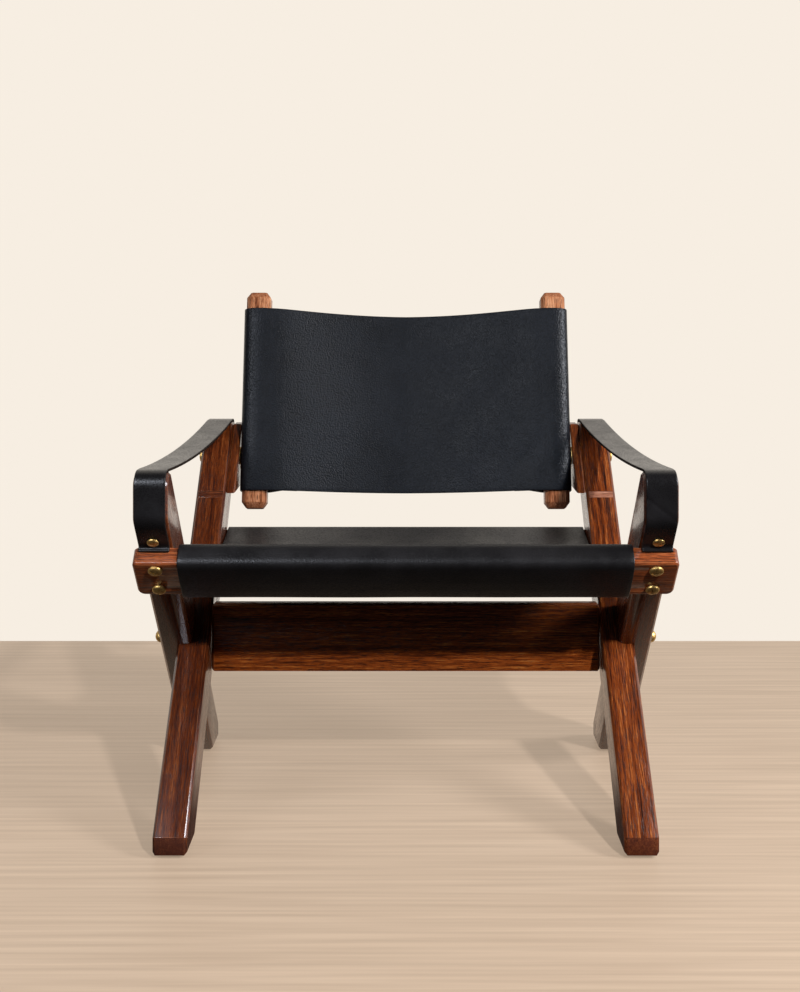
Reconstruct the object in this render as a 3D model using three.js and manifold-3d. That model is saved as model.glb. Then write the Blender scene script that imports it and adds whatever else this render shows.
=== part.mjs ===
// Leather sling lounge chair: two pairs of lapped, crossing legs, a sling seat between two
// rails, leather arm straps and a leather back that turns on bolts through the uprights.
// Millimetres, +Z up, the front of the chair faces -Y, +X is the sitter's left.

import * as THREE from 'three';
import { mergeVertices } from 'three/addons/utils/BufferGeometryUtils.js';
import Module from 'manifold-3d';

const wasm = await Module();
wasm.setup();

// ---- Driving dimensions ----

// Fits shared by every joint
const FIT_GAP = 0.3; // between two faces that meet
const BORE_PLAY = 0.3; // round a shank in its hole
const OVERRUN = 5; // how far a cutting tool runs past what it cuts

// Legs, all four cut from the same stock
const LEG_WIDTH = 64; // across the slope
const LEG_THICK = 44.5;
const LEG_CHAMFER = 3.5;
const LEG_ANGLE = Math.PI / 4;
const LEG_LAP = 20.7; // how far the two legs of a side overlap in thickness
const CROSS_HEIGHT = 221; // centre of the crossing above the foot
const CLEAR_WIDTH = 559; // between the inner faces of the uprights
const TOE_HEIGHT = 23; // plumb cut at each foot
const UPRIGHT_TOP = 507;
const UPRIGHT_LAND = 33; // level top of an upright
const UPRIGHT_ROUND = 8; // its rear corner, where the strap turns down
const ARM_TOP = 487;
const NOSE_DEPTH = 29.5; // level top and nose of an arm leg
const NOSE_RADIUS = 18;
const NOSE_EASE = 8; // eased corner between the nose and the slope below it
const FRONT_SHIFT = 25.75; // the crossing lies this far in front of the middle of the depth

// Foot glides
const GLIDE_DIAMETER = 25;
const GLIDE_HEIGHT = 4.4; // what a glide lifts the foot by

// Cross stretcher
const STRETCHER_HEIGHT = 95;
const STRETCHER_THICK = 27;
const STRETCHER_CHAMFER = 3;

// Seat rails
const RAIL_WIDTH = 72;
const RAIL_THICK = 27;
const RAIL_EDGE = 2.5; // eased edge
const FRONT_RAIL_OVERHANG = 4.7; // past the outer face of the arm legs
const REAR_RAIL_OVERHANG = 4.7; // past the outer face of the uprights
const RAIL_TOP_CORNER = 7;
const RAIL_LOW_CORNER = 10;
const FRONT_RAIL_SETBACK = 51.6; // from the nose down the slope to the rail's upper edge
const REAR_RAIL_SETBACK = 144; // from the upright's rear corner down the slope to the rail

// Leather
const SLING_THICK = 3.6;
const SEAT_OVERHANG = 14.5; // past the inner face of each upright, on the front rail
const SEAT_SIDE_GAP = 7.5; // between the seat leather and an upright, where it passes between
const SEAT_SAG = 35;
const SEAT_TAPER = 30; // length over which the seat narrows in front of the uprights
const STRAP_THICK = 4;
const STRAP_WIDTH = 40;
const STRAP_SAG = 10;
const STRAP_TAIL = 45; // down the rear of the upright
const STRAP_LIP = 15; // over the upper edge of the front rail
const BACK_BOW = 57;
const SLEEVE_LENGTH = 294;
const HEM = 24; // the part of the sleeve that is sewn to the panel

// Back
const BACK_LEAN = THREE.MathUtils.degToRad(13.5);
const POST_SIDE = 39;
const POST_CHAMFER = 6.5;
const POST_TIP = 9; // length of the pointed end
const POST_BELOW = 84; // from the pivot down to the end
const POST_ABOVE = 265; // from the pivot up to the end
const SLEEVE_BELOW = 57; // from the pivot down to the sleeve's lower edge
const PIVOT_DROP = 50; // below the top of the upright
const PIVOT_INSET = 23.8; // behind the front face of the upright
const BLOCK_THICK = 14.2;
const BLOCK_BELOW = 50; // from the pivot down to the pivot block's lower end
const BLOCK_INSET = 2; // inside the outline of the upright

// Bands let into the front of the uprights
const BAND_HEIGHT = 406;
const BAND_WIDTH = 12;
const BAND_DEPTH = 2.2;

// Fasteners
const BOLT_SHANK = 10;
const BOLT_HEAD = 18.5;
const BOLT_HEAD_HEIGHT = 12;
const BOLT_REACH = 50; // of a crossing bolt into the stretcher
const WASHER_DIAMETER = 24;
const WASHER_THICK = 2;
const NUT_DIAMETER = 16;
const NUT_LENGTH = 22;
const NUT_SETBACK = 35; // from the end of the stretcher
const PIVOT_HEAD_HEIGHT = 8;
const PIVOT_REACH = 30; // into the post
const INNER_WASHER_DIAMETER = 28;
const INNER_WASHER_THICK = 1.4;
const RAIL_SCREW_HEAD = 18.5;
const RAIL_SCREW_HEAD_HEIGHT = 5.5;
const RAIL_SCREW_SHANK = 7;
const RAIL_SCREW_GRIP = 34; // into the leg
const RAIL_SCREW_INSET = 29; // from the end of the front rail
const RAIL_SCREW_EDGE = 14; // from the rail's upper edge to the first screw
const RAIL_SCREW_PITCH = 43;
const STRAP_SCREW_HEAD = 15.5;
const STRAP_SCREW_HEAD_HEIGHT = 4;
const STRAP_SCREW_SHANK = 5;
const STRAP_SCREW_GRIP = 28;
const STRAP_SCREW_RISE = 15.5; // above the front rail, up the slope
const STRAP_SCREW_DROP = 23; // below the top of the upright
const BLOCK_SCREW_HEAD = 9;
const BLOCK_SCREW_SHANK = 4.5;
const BLOCK_SCREW_GRIP = 25;
const BLOCK_SCREW_SPREAD = 24; // along the slope, to each side of the pivot
const SLOT_WIDTH = 2;
const SLOT_DEPTH = 1.6;

// ---- Places that follow from the sizes ----

const FACE_RUN = LEG_WIDTH / 2 / Math.sin(LEG_ANGLE); // crossing centre to a sloping face, level
const SLOPE = Math.tan(LEG_ANGLE);
const INNER_A = CLEAR_WIDTH / 2;
const OUTER_A = INNER_A + LEG_THICK;
const INNER_B = OUTER_A - LEG_LAP;
const OUTER_B = INNER_B + LEG_THICK;
const MID_A = (INNER_A + OUTER_A) / 2;
const MID_B = (INNER_B + OUTER_B) / 2;
const LAP_PLANE = (OUTER_A + INNER_B) / 2;
const SEAT_WIDTH = CLEAR_WIDTH + 2 * SEAT_OVERHANG;

// Distances from the crossing: y of a sloping face at a height, and its height at a y
const uprightFront = (z) => (z - CROSS_HEIGHT) / SLOPE - FACE_RUN;
const uprightRear = (z) => (z - CROSS_HEIGHT) / SLOPE + FACE_RUN;
const armFront = (z) => -(z - CROSS_HEIGHT) / SLOPE - FACE_RUN;
const armRear = (z) => -(z - CROSS_HEIGHT) / SLOPE + FACE_RUN;

const TOE_Y = uprightFront(TOE_HEIGHT);
const HEEL_Y = armRear(TOE_HEIGHT);
const UPRIGHT_BACK_Y = uprightFront(UPRIGHT_TOP) + UPRIGHT_LAND;
const UPRIGHT_BACK_Z = CROSS_HEIGHT + (UPRIGHT_BACK_Y - FACE_RUN) * SLOPE;
const NOSE_Y = armRear(ARM_TOP) - NOSE_DEPTH;
const NOSE_FOOT_Z = CROSS_HEIGHT - (NOSE_Y + FACE_RUN) * SLOPE;

// Frames of the two rails: x along the rail, y up the slope of the leg, z off its face.
// Their origin is on the leg's face at the rail's upper edge.
const alongSlope = (length) => new THREE.Vector2(length * Math.cos(LEG_ANGLE), length * Math.sin(LEG_ANGLE));
const frontDrop = alongSlope(FRONT_RAIL_SETBACK);
const rearDrop = alongSlope(REAR_RAIL_SETBACK);
const FRONT_RAIL_FRAME = new THREE.Matrix4()
  .makeRotationX(Math.PI - LEG_ANGLE)
  .setPosition(0, NOSE_Y + frontDrop.x, NOSE_FOOT_Z - frontDrop.y);
const REAR_RAIL_FRAME = new THREE.Matrix4()
  .makeRotationX(LEG_ANGLE)
  .setPosition(0, UPRIGHT_BACK_Y - rearDrop.x, UPRIGHT_BACK_Z - rearDrop.y);

const FRONT_RAIL_HALF = OUTER_B + FRONT_RAIL_OVERHANG;
const REAR_RAIL_HALF = OUTER_A + REAR_RAIL_OVERHANG;
const PIVOT_HEIGHT = UPRIGHT_TOP - PIVOT_DROP;
const PIVOT_Y = uprightFront(PIVOT_HEIGHT) + PIVOT_INSET;
const BLOCK_FOOT = PIVOT_HEIGHT - BLOCK_BELOW;
const BLOCK_INNER = INNER_A - FIT_GAP - BLOCK_THICK;
const SLEEVE_HALF = BLOCK_INNER - FIT_GAP - INNER_WASHER_THICK - FIT_GAP;
const POST_X = SLEEVE_HALF - SLING_THICK - FIT_GAP - POST_SIDE / 2;
const NUT_X = INNER_A - FIT_GAP - NUT_SETBACK;

// ---- Solids and cuts ----

function toSolid(geometry) {
  const bare = geometry.clone();
  bare.deleteAttribute('normal');
  bare.deleteAttribute('uv');
  const merged = mergeVertices(bare);
  const vertProperties = new Float32Array(merged.attributes.position.array);
  const triVerts = new Uint32Array(merged.index.array);
  return new wasm.Manifold(new wasm.Mesh({ numProp: 3, vertProperties, triVerts }));
}

function toGeometry(solid) {
  const mesh = solid.getMesh();
  const geometry = new THREE.BufferGeometry();
  geometry.setAttribute('position', new THREE.BufferAttribute(mesh.vertProperties, 3));
  geometry.setIndex(new THREE.BufferAttribute(mesh.triVerts, 1));
  geometry.computeVertexNormals();
  return geometry;
}

function cut(geometry, tools) {
  let solid = toSolid(geometry);
  for (const tool of tools) {
    solid = solid.subtract(toSolid(tool));
  }
  return toGeometry(solid);
}

function keep(geometry, tool) {
  return toGeometry(toSolid(geometry).intersect(toSolid(tool)));
}

// The same piece for the other side of the chair
function mirrored(geometry) {
  const copy = mergeVertices(stripped(geometry));
  const position = copy.attributes.position;
  for (let i = 0; i < position.count; i += 1) {
    position.setX(i, -position.getX(i));
  }
  const index = copy.index;
  for (let i = 0; i < index.count; i += 3) {
    const first = index.getX(i);
    index.setX(i, index.getX(i + 1));
    index.setX(i + 1, first);
  }
  copy.computeVertexNormals();
  return copy;
}

function stripped(geometry) {
  const bare = geometry.clone();
  bare.deleteAttribute('normal');
  bare.deleteAttribute('uv');
  return bare;
}

function shapeFrom(points) {
  return new THREE.Shape(points.map((p) => new THREE.Vector2(p.x, p.y)));
}

// A profile drawn in the side view, y across and z up, pushed out along X
function sideways(shape, fromX, toX, chamfer = 0) {
  const geometry = new THREE.ExtrudeGeometry(shape, {
    depth: toX - fromX - 2 * chamfer,
    bevelEnabled: chamfer > 0,
    bevelThickness: chamfer,
    bevelSize: chamfer,
    bevelOffset: -chamfer,
    bevelSegments: 1,
    curveSegments: 8,
  });
  const axes = new THREE.Matrix4().makeBasis(
    new THREE.Vector3(0, 1, 0),
    new THREE.Vector3(0, 0, 1),
    new THREE.Vector3(1, 0, 0),
  );
  geometry.applyMatrix4(axes);
  geometry.translate(fromX + chamfer, 0, 0);
  return geometry;
}

// A cylinder along X
function crossBore(diameter, fromX, toX, y, z, sides = 16) {
  const geometry = new THREE.CylinderGeometry(diameter / 2, diameter / 2, toX - fromX, sides);
  geometry.rotateZ(-Math.PI / 2);
  geometry.translate((fromX + toX) / 2, y, z);
  return geometry;
}

// A cylinder along the Z axis of a rail's frame
function faceBore(frame, diameter, x, y, fromZ, toZ) {
  const geometry = new THREE.CylinderGeometry(diameter / 2, diameter / 2, toZ - fromZ, 12);
  geometry.rotateX(Math.PI / 2);
  geometry.translate(x, y, (fromZ + toZ) / 2);
  geometry.applyMatrix4(frame);
  return geometry;
}

// ---- Leather paths ----

// The line that runs beside a row of points, to its left for a positive distance
function beside(points, distance) {
  return points.map((point, i) => {
    const before = points[Math.max(i - 1, 0)];
    const after = points[Math.min(i + 1, points.length - 1)];
    const into = new THREE.Vector2().subVectors(point, before).normalize();
    const out = new THREE.Vector2().subVectors(after, point).normalize();
    if (i === 0) into.copy(out);
    if (i === points.length - 1) out.copy(into);
    const middle = new THREE.Vector2().addVectors(into, out).normalize();
    const reach = distance / Math.max(middle.dot(into), 0.2);
    return new THREE.Vector2(point.x - middle.y * reach, point.y + middle.x * reach);
  });
}

// The same points with each corner rounded over its own length
function rounded(points, cuts, steps) {
  const result = [];
  points.forEach((point, i) => {
    if (!cuts[i]) {
      result.push(point.clone());
      return;
    }
    const start = point.clone().add(points[i - 1].clone().sub(point).setLength(cuts[i]));
    const end = point.clone().add(points[i + 1].clone().sub(point).setLength(cuts[i]));
    const bend = new THREE.QuadraticBezierCurve(start, point, end);
    result.push(...bend.getPoints(steps));
  });
  return result;
}

function sagging(start, end, sag, steps) {
  const points = [];
  for (let i = 1; i < steps; i += 1) {
    const share = i / steps;
    const point = start.clone().lerp(end, share);
    point.y -= 4 * sag * share * (1 - share);
    points.push(point);
  }
  return points;
}

// The outline of a sheet of the given thickness whose middle follows the points
function sheetShape(points, thickness) {
  const upper = beside(points, thickness / 2);
  const lower = beside(points, -thickness / 2).reverse();
  return shapeFrom([...upper, ...lower]);
}

// ---- Fasteners ----

// Turned about Y: the seat of the head at the origin, the head towards +Y
function domedScrew({ head, headHeight, shank, length, slotted }) {
  const rim = headHeight / 3;
  const crown = headHeight - rim;
  const profile = [new THREE.Vector2(0, -length)];
  profile.push(new THREE.Vector2(shank / 2, -length + shank / 2));
  profile.push(new THREE.Vector2(shank / 2, 0));
  profile.push(new THREE.Vector2(head / 2, 0));
  const steps = 4;
  for (let i = 0; i < steps; i += 1) {
    const turn = (i / steps) * (Math.PI / 2);
    profile.push(new THREE.Vector2((head / 2) * Math.cos(turn), rim + crown * Math.sin(turn)));
  }
  profile.push(new THREE.Vector2(0, headHeight));
  const screw = new THREE.LatheGeometry(profile, 16);
  if (!slotted) return stripped(screw);
  const slot = new THREE.BoxGeometry(head + OVERRUN, SLOT_DEPTH + OVERRUN, SLOT_WIDTH);
  slot.translate(0, headHeight - SLOT_DEPTH + (SLOT_DEPTH + OVERRUN) / 2, 0);
  return stripped(cut(screw, [slot]));
}

function countersunkScrew(spread) {
  const sink = (BLOCK_SCREW_HEAD - BLOCK_SCREW_SHANK) / 2;
  const length = BLOCK_THICK + BLOCK_SCREW_GRIP;
  const profile = [
    new THREE.Vector2(0, -length - spread),
    new THREE.Vector2(BLOCK_SCREW_SHANK / 2 + spread, -length - spread),
    new THREE.Vector2(BLOCK_SCREW_SHANK / 2 + spread, -sink),
    new THREE.Vector2(BLOCK_SCREW_HEAD / 2 + spread, 0),
    new THREE.Vector2(0, 0),
  ];
  return stripped(new THREE.LatheGeometry(profile, 12));
}

// Turns a fastener drawn along +Y to point along the given direction at the given place
function aimed(geometry, place, direction, roll = 0) {
  const turn = new THREE.Quaternion().setFromUnitVectors(
    new THREE.Vector3(0, 1, 0),
    direction.clone().normalize(),
  );
  const copy = geometry.clone();
  copy.rotateY(roll);
  copy.applyQuaternion(turn);
  copy.translate(place.x, place.y, place.z);
  return copy;
}

// ---- Legs ----

function uprightOutline() {
  const corners = [
    new THREE.Vector2(TOE_Y, 0),
    new THREE.Vector2(uprightRear(0), 0),
    new THREE.Vector2(UPRIGHT_BACK_Y, UPRIGHT_BACK_Z),
    new THREE.Vector2(UPRIGHT_BACK_Y, UPRIGHT_TOP),
    new THREE.Vector2(uprightFront(UPRIGHT_TOP), UPRIGHT_TOP),
    new THREE.Vector2(TOE_Y, TOE_HEIGHT),
  ];
  return rounded(corners, [0, 0, 0, UPRIGHT_ROUND, 0, 0], 4);
}

function armLegShape() {
  const shape = new THREE.Shape();
  shape.moveTo(armFront(0), 0);
  shape.lineTo(HEEL_Y, 0);
  shape.lineTo(HEEL_Y, TOE_HEIGHT);
  shape.lineTo(armRear(ARM_TOP), ARM_TOP);
  shape.lineTo(NOSE_Y + NOSE_RADIUS, ARM_TOP);
  shape.absarc(NOSE_Y + NOSE_RADIUS, ARM_TOP - NOSE_RADIUS, NOSE_RADIUS, Math.PI / 2, Math.PI, false);
  shape.lineTo(NOSE_Y, NOSE_FOOT_Z + NOSE_EASE);
  const eased = alongSlope(NOSE_EASE);
  shape.quadraticCurveTo(NOSE_Y, NOSE_FOOT_Z, NOSE_Y + eased.x, NOSE_FOOT_Z - eased.y);
  return shape;
}

// The room that one leg of a side takes out of the other, a plain bar through the crossing
function lapBar(turn, fromX, toX) {
  const bar = new THREE.BoxGeometry(toX - fromX, LEG_WIDTH * 3, LEG_WIDTH + 2 * FIT_GAP);
  bar.rotateX(turn);
  bar.translate((fromX + toX) / 2, 0, CROSS_HEIGHT);
  return bar;
}

const crossingBore = crossBore(
  BOLT_SHANK + 2 * BORE_PLAY,
  INNER_A - OVERRUN,
  OUTER_B + OVERRUN,
  0,
  CROSS_HEIGHT,
);

function uprightLeg() {
  const body = sideways(shapeFrom(uprightOutline()), INNER_A, OUTER_A, LEG_CHAMFER);
  const railBores = rearScrewPlaces().map((p) => faceBore(
    REAR_RAIL_FRAME,
    RAIL_SCREW_SHANK + 2 * BORE_PLAY,
    p.x,
    p.y,
    -OVERRUN,
    RAIL_SCREW_GRIP + FIT_GAP,
  ));
  const blockTools = blockScrewPlaces().map((p) => crossBore(
    BLOCK_SCREW_SHANK + 2 * BORE_PLAY,
    INNER_A - OVERRUN,
    INNER_A + BLOCK_SCREW_GRIP + FIT_GAP,
    p.x,
    p.y,
    12,
  ));
  const strapBore = new THREE.CylinderGeometry(
    STRAP_SCREW_SHANK / 2 + BORE_PLAY,
    STRAP_SCREW_SHANK / 2 + BORE_PLAY,
    STRAP_SCREW_GRIP + OVERRUN,
    12,
  );
  strapBore.translate(MID_A, UPRIGHT_BACK_Y - (STRAP_SCREW_GRIP - OVERRUN) / 2, UPRIGHT_TOP - STRAP_SCREW_DROP);
  return cut(body, [
    lapBar(-LEG_ANGLE, LAP_PLANE - FIT_GAP / 2, OUTER_A + OVERRUN),
    crossingBore,
    crossBore(BOLT_SHANK + 2 * BORE_PLAY, INNER_A - OVERRUN, OUTER_A + OVERRUN, PIVOT_Y, PIVOT_HEIGHT),
    bandGroove(),
    strapBore,
    ...railBores,
    ...blockTools,
  ]);
}

function armLeg() {
  const body = sideways(armLegShape(), INNER_B, OUTER_B, LEG_CHAMFER);
  const railBores = frontScrewPlaces().map((p) => faceBore(
    FRONT_RAIL_FRAME,
    RAIL_SCREW_SHANK + 2 * BORE_PLAY,
    p.x,
    p.y,
    -RAIL_SCREW_GRIP - FIT_GAP,
    OVERRUN,
  ));
  const strapBore = faceBore(
    FRONT_RAIL_FRAME,
    STRAP_SCREW_SHANK + 2 * BORE_PLAY,
    MID_B,
    STRAP_SCREW_RISE,
    -STRAP_SCREW_GRIP - FIT_GAP,
    OVERRUN,
  );
  return cut(body, [
    lapBar(LEG_ANGLE, INNER_B - OVERRUN, LAP_PLANE + FIT_GAP / 2),
    crossingBore,
    strapBore,
    ...railBores,
  ]);
}

// ---- Bands on the front of the uprights ----

function bandBar(spread) {
  const bar = new THREE.BoxGeometry(
    LEG_THICK - 2 * LEG_CHAMFER + 2 * spread,
    BAND_WIDTH + 2 * spread,
    BAND_DEPTH + 2 * spread,
  );
  bar.translate(0, 0, -BAND_DEPTH / 2);
  bar.rotateX(LEG_ANGLE);
  bar.translate(MID_A, uprightFront(BAND_HEIGHT), BAND_HEIGHT);
  return bar;
}

function bandGroove() {
  return bandBar(FIT_GAP);
}

// ---- Stretcher ----

function stretcher() {
  const half = INNER_A - FIT_GAP;
  const board = new THREE.Shape();
  board.moveTo(-STRETCHER_THICK / 2, CROSS_HEIGHT - STRETCHER_HEIGHT / 2);
  board.lineTo(STRETCHER_THICK / 2, CROSS_HEIGHT - STRETCHER_HEIGHT / 2);
  board.lineTo(STRETCHER_THICK / 2, CROSS_HEIGHT + STRETCHER_HEIGHT / 2);
  board.lineTo(-STRETCHER_THICK / 2, CROSS_HEIGHT + STRETCHER_HEIGHT / 2);
  const body = sideways(board, -half, half, STRETCHER_CHAMFER);
  const tools = [];
  for (const side of [-1, 1]) {
    const inner = side * (half - BOLT_REACH - FIT_GAP);
    const outer = side * (half + OVERRUN);
    const from = Math.min(inner, outer);
    const to = Math.max(inner, outer);
    tools.push(crossBore(BOLT_SHANK + 2 * BORE_PLAY, from, to, 0, CROSS_HEIGHT));
    const nutBore = new THREE.CylinderGeometry(
      NUT_DIAMETER / 2 + BORE_PLAY,
      NUT_DIAMETER / 2 + BORE_PLAY,
      NUT_LENGTH + OVERRUN,
      16,
    );
    const depthShift = (STRETCHER_THICK - NUT_LENGTH + OVERRUN) / 2 - FIT_GAP;
    nutBore.translate(side * NUT_X, depthShift, CROSS_HEIGHT);
    tools.push(nutBore);
  }
  return cut(body, tools);
}

function barrelNut() {
  const nut = new THREE.CylinderGeometry(NUT_DIAMETER / 2, NUT_DIAMETER / 2, NUT_LENGTH, 16);
  nut.translate(NUT_X, (STRETCHER_THICK - NUT_LENGTH) / 2, CROSS_HEIGHT);
  const bore = crossBore(
    BOLT_SHANK + 2 * BORE_PLAY,
    NUT_X - NUT_DIAMETER,
    NUT_X + NUT_DIAMETER,
    0,
    CROSS_HEIGHT,
  );
  return cut(nut, [bore]);
}

// ---- Rails, drawn in their own frames ----

function frontScrewPlaces() {
  const x = FRONT_RAIL_HALF - RAIL_SCREW_INSET;
  return [
    new THREE.Vector2(x, -RAIL_SCREW_EDGE),
    new THREE.Vector2(x, -RAIL_SCREW_EDGE - RAIL_SCREW_PITCH),
  ];
}

function rearScrewPlaces() {
  return [
    new THREE.Vector2(MID_A, -RAIL_SCREW_EDGE),
    new THREE.Vector2(MID_A, -RAIL_SCREW_EDGE - RAIL_SCREW_PITCH),
  ];
}

function railBoard(half, places, fromZ) {
  const board = new THREE.Shape();
  const top = RAIL_TOP_CORNER;
  const low = RAIL_LOW_CORNER;
  board.moveTo(-half + low, -RAIL_WIDTH);
  board.lineTo(half - low, -RAIL_WIDTH);
  board.absarc(half - low, -RAIL_WIDTH + low, low, -Math.PI / 2, 0, false);
  board.lineTo(half, -top);
  board.absarc(half - top, -top, top, 0, Math.PI / 2, false);
  board.lineTo(-half + top, 0);
  board.absarc(-half + top, -top, top, Math.PI / 2, Math.PI, false);
  board.lineTo(-half, -RAIL_WIDTH + low);
  board.absarc(-half + low, -RAIL_WIDTH + low, low, Math.PI, Math.PI * 1.5, false);
  const body = new THREE.ExtrudeGeometry(board, {
    depth: RAIL_THICK - 2 * RAIL_EDGE,
    bevelEnabled: true,
    bevelThickness: RAIL_EDGE,
    bevelSize: RAIL_EDGE,
    bevelOffset: -RAIL_EDGE,
    bevelSegments: 1,
    curveSegments: 5,
  });
  body.translate(0, 0, fromZ + RAIL_EDGE);
  const plain = new THREE.Matrix4();
  const tools = [];
  for (const place of places) {
    for (const side of [-1, 1]) {
      tools.push(faceBore(
        plain,
        RAIL_SCREW_SHANK + 2 * BORE_PLAY,
        side * place.x,
        place.y,
        fromZ - OVERRUN,
        fromZ + RAIL_THICK + OVERRUN,
      ));
    }
  }
  return cut(body, tools);
}

// Screws of one rail in its frame; outward is the sign of Z on which their heads stand
function railScrews(places, outward) {
  const seat = FIT_GAP + RAIL_THICK + FIT_GAP;
  const screw = domedScrew({
    head: RAIL_SCREW_HEAD,
    headHeight: RAIL_SCREW_HEAD_HEIGHT,
    shank: RAIL_SCREW_SHANK,
    length: seat + RAIL_SCREW_GRIP,
    slotted: true,
  });
  return places.map((place, i) => aimed(
    screw,
    new THREE.Vector3(place.x, place.y, outward * seat),
    new THREE.Vector3(0, 0, outward),
    0.5 + i,
  ));
}

// ---- Seat leather ----

// Corners of a rail's section in the side view, starting on the face against the leg
function railCorners(frame, outward) {
  const inner = outward * FIT_GAP;
  const outer = outward * (FIT_GAP + RAIL_THICK);
  const at = (y, z) => {
    const point = new THREE.Vector3(0, y, z).applyMatrix4(frame);
    return new THREE.Vector2(point.y, point.z);
  };
  return {
    legUpper: at(0, inner),
    legLower: at(-RAIL_WIDTH, inner),
    farUpper: at(0, outer),
    farLower: at(-RAIL_WIDTH, outer),
  };
}

function seatLeather() {
  const front = railCorners(FRONT_RAIL_FRAME, 1);
  const rear = railCorners(REAR_RAIL_FRAME, -1);
  const endShare = 0.22;
  const frontEnd = front.legUpper.clone().lerp(front.legLower, endShare);
  const rearEnd = rear.legUpper.clone().lerp(rear.legLower, endShare);
  const route = [
    frontEnd,
    front.legLower,
    front.farLower,
    front.farUpper,
    front.legUpper,
    ...sagging(front.legUpper, rear.legUpper, SEAT_SAG, 14),
    rear.legUpper,
    rear.farUpper,
    rear.farLower,
    rear.legLower,
    rearEnd,
  ];
  const points = beside(route, SLING_THICK / 2 + FIT_GAP);
  const bend = RAIL_EDGE * 1.6;
  const cuts = points.map((p, i) => {
    const fromEnd = points.length - 1 - i;
    const onRail = (i >= 1 && i <= 4) || (fromEnd >= 1 && fromEnd <= 4);
    return onRail ? bend : 0;
  });
  const sheet = sheetShape(rounded(points, cuts, 3), SLING_THICK);
  const body = sideways(sheet, -SEAT_WIDTH / 2, SEAT_WIDTH / 2);
  return keep(body, seatPlan());
}

// The seat seen from above: full width in front, narrower where it passes the uprights
function seatPlan() {
  const wide = SEAT_WIDTH / 2 + OVERRUN;
  const narrow = INNER_A - SEAT_SIDE_GAP;
  const taperEnd = uprightFront(NOSE_FOOT_Z - FRONT_RAIL_SETBACK * Math.sin(LEG_ANGLE) - SEAT_SAG * 2);
  const taperStart = taperEnd - SEAT_TAPER;
  const front = NOSE_Y - LEG_WIDTH;
  const back = UPRIGHT_BACK_Y + LEG_WIDTH;
  const plan = new THREE.Shape();
  plan.moveTo(-wide, front);
  plan.lineTo(wide, front);
  plan.lineTo(wide, taperStart);
  plan.lineTo(narrow, taperEnd);
  plan.lineTo(narrow, back);
  plan.lineTo(-narrow, back);
  plan.lineTo(-narrow, taperEnd);
  plan.lineTo(-wide, taperStart);
  return new THREE.ExtrudeGeometry(plan, { depth: UPRIGHT_TOP, bevelEnabled: false });
}

// ---- Arm straps ----

function strapRoute() {
  const front = railCorners(FRONT_RAIL_FRAME, 1);
  const railEdge = front.farUpper.clone().sub(front.legUpper).setLength(STRAP_LIP);
  const noseTop = new THREE.Vector2(armRear(ARM_TOP), ARM_TOP);
  const uprightTop = new THREE.Vector2(uprightFront(UPRIGHT_TOP), UPRIGHT_TOP);
  return [
    front.legUpper.clone().add(railEdge),
    front.legUpper.clone(),
    new THREE.Vector2(NOSE_Y, NOSE_FOOT_Z),
    new THREE.Vector2(NOSE_Y, ARM_TOP),
    noseTop,
    ...sagging(noseTop, uprightTop, STRAP_SAG, 12),
    uprightTop,
    new THREE.Vector2(UPRIGHT_BACK_Y, UPRIGHT_TOP),
    new THREE.Vector2(UPRIGHT_BACK_Y, UPRIGHT_TOP - STRAP_TAIL),
  ];
}

function armStrap() {
  const points = beside(strapRoute(), STRAP_THICK / 2 + FIT_GAP);
  const last = points.length - 1;
  const cuts = points.map(() => 0);
  cuts[1] = STRAP_THICK;
  cuts[2] = NOSE_EASE;
  cuts[3] = NOSE_RADIUS * 1.15;
  cuts[last - 1] = UPRIGHT_ROUND + STRAP_THICK / 2;
  const body = sideways(
    sheetShape(rounded(points, cuts, 5), STRAP_THICK),
    -STRAP_WIDTH / 2,
    STRAP_WIDTH / 2,
  );
  const position = body.attributes.position;
  const startY = armRear(ARM_TOP);
  const endY = uprightFront(UPRIGHT_TOP);
  for (let i = 0; i < position.count; i += 1) {
    const share = THREE.MathUtils.clamp((position.getY(i) - startY) / (endY - startY), 0, 1);
    position.setX(i, position.getX(i) + THREE.MathUtils.lerp(MID_B, MID_A, share));
  }
  const frontBore = faceBore(
    FRONT_RAIL_FRAME,
    STRAP_SCREW_SHANK + 2 * BORE_PLAY,
    MID_B,
    STRAP_SCREW_RISE,
    -OVERRUN,
    STRAP_THICK + OVERRUN,
  );
  const rearBore = new THREE.CylinderGeometry(
    STRAP_SCREW_SHANK / 2 + BORE_PLAY,
    STRAP_SCREW_SHANK / 2 + BORE_PLAY,
    STRAP_THICK + 2 * OVERRUN,
    12,
  );
  rearBore.translate(MID_A, UPRIGHT_BACK_Y + STRAP_THICK / 2, UPRIGHT_TOP - STRAP_SCREW_DROP);
  return cut(body, [frontBore, rearBore]);
}

function strapScrews() {
  const seat = FIT_GAP + STRAP_THICK + FIT_GAP;
  const screw = domedScrew({
    head: STRAP_SCREW_HEAD,
    headHeight: STRAP_SCREW_HEAD_HEIGHT,
    shank: STRAP_SCREW_SHANK,
    length: seat + STRAP_SCREW_GRIP,
    slotted: true,
  });
  const front = aimed(screw, new THREE.Vector3(MID_B, STRAP_SCREW_RISE, seat), new THREE.Vector3(0, 0, 1), 0.3);
  front.applyMatrix4(FRONT_RAIL_FRAME);
  const rearPlace = new THREE.Vector3(MID_A, UPRIGHT_BACK_Y + seat, UPRIGHT_TOP - STRAP_SCREW_DROP);
  const rear = aimed(screw, rearPlace, new THREE.Vector3(0, 1, 0), 0.9);
  return [front, rear];
}

// ---- Pivot blocks and bolts ----

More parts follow.
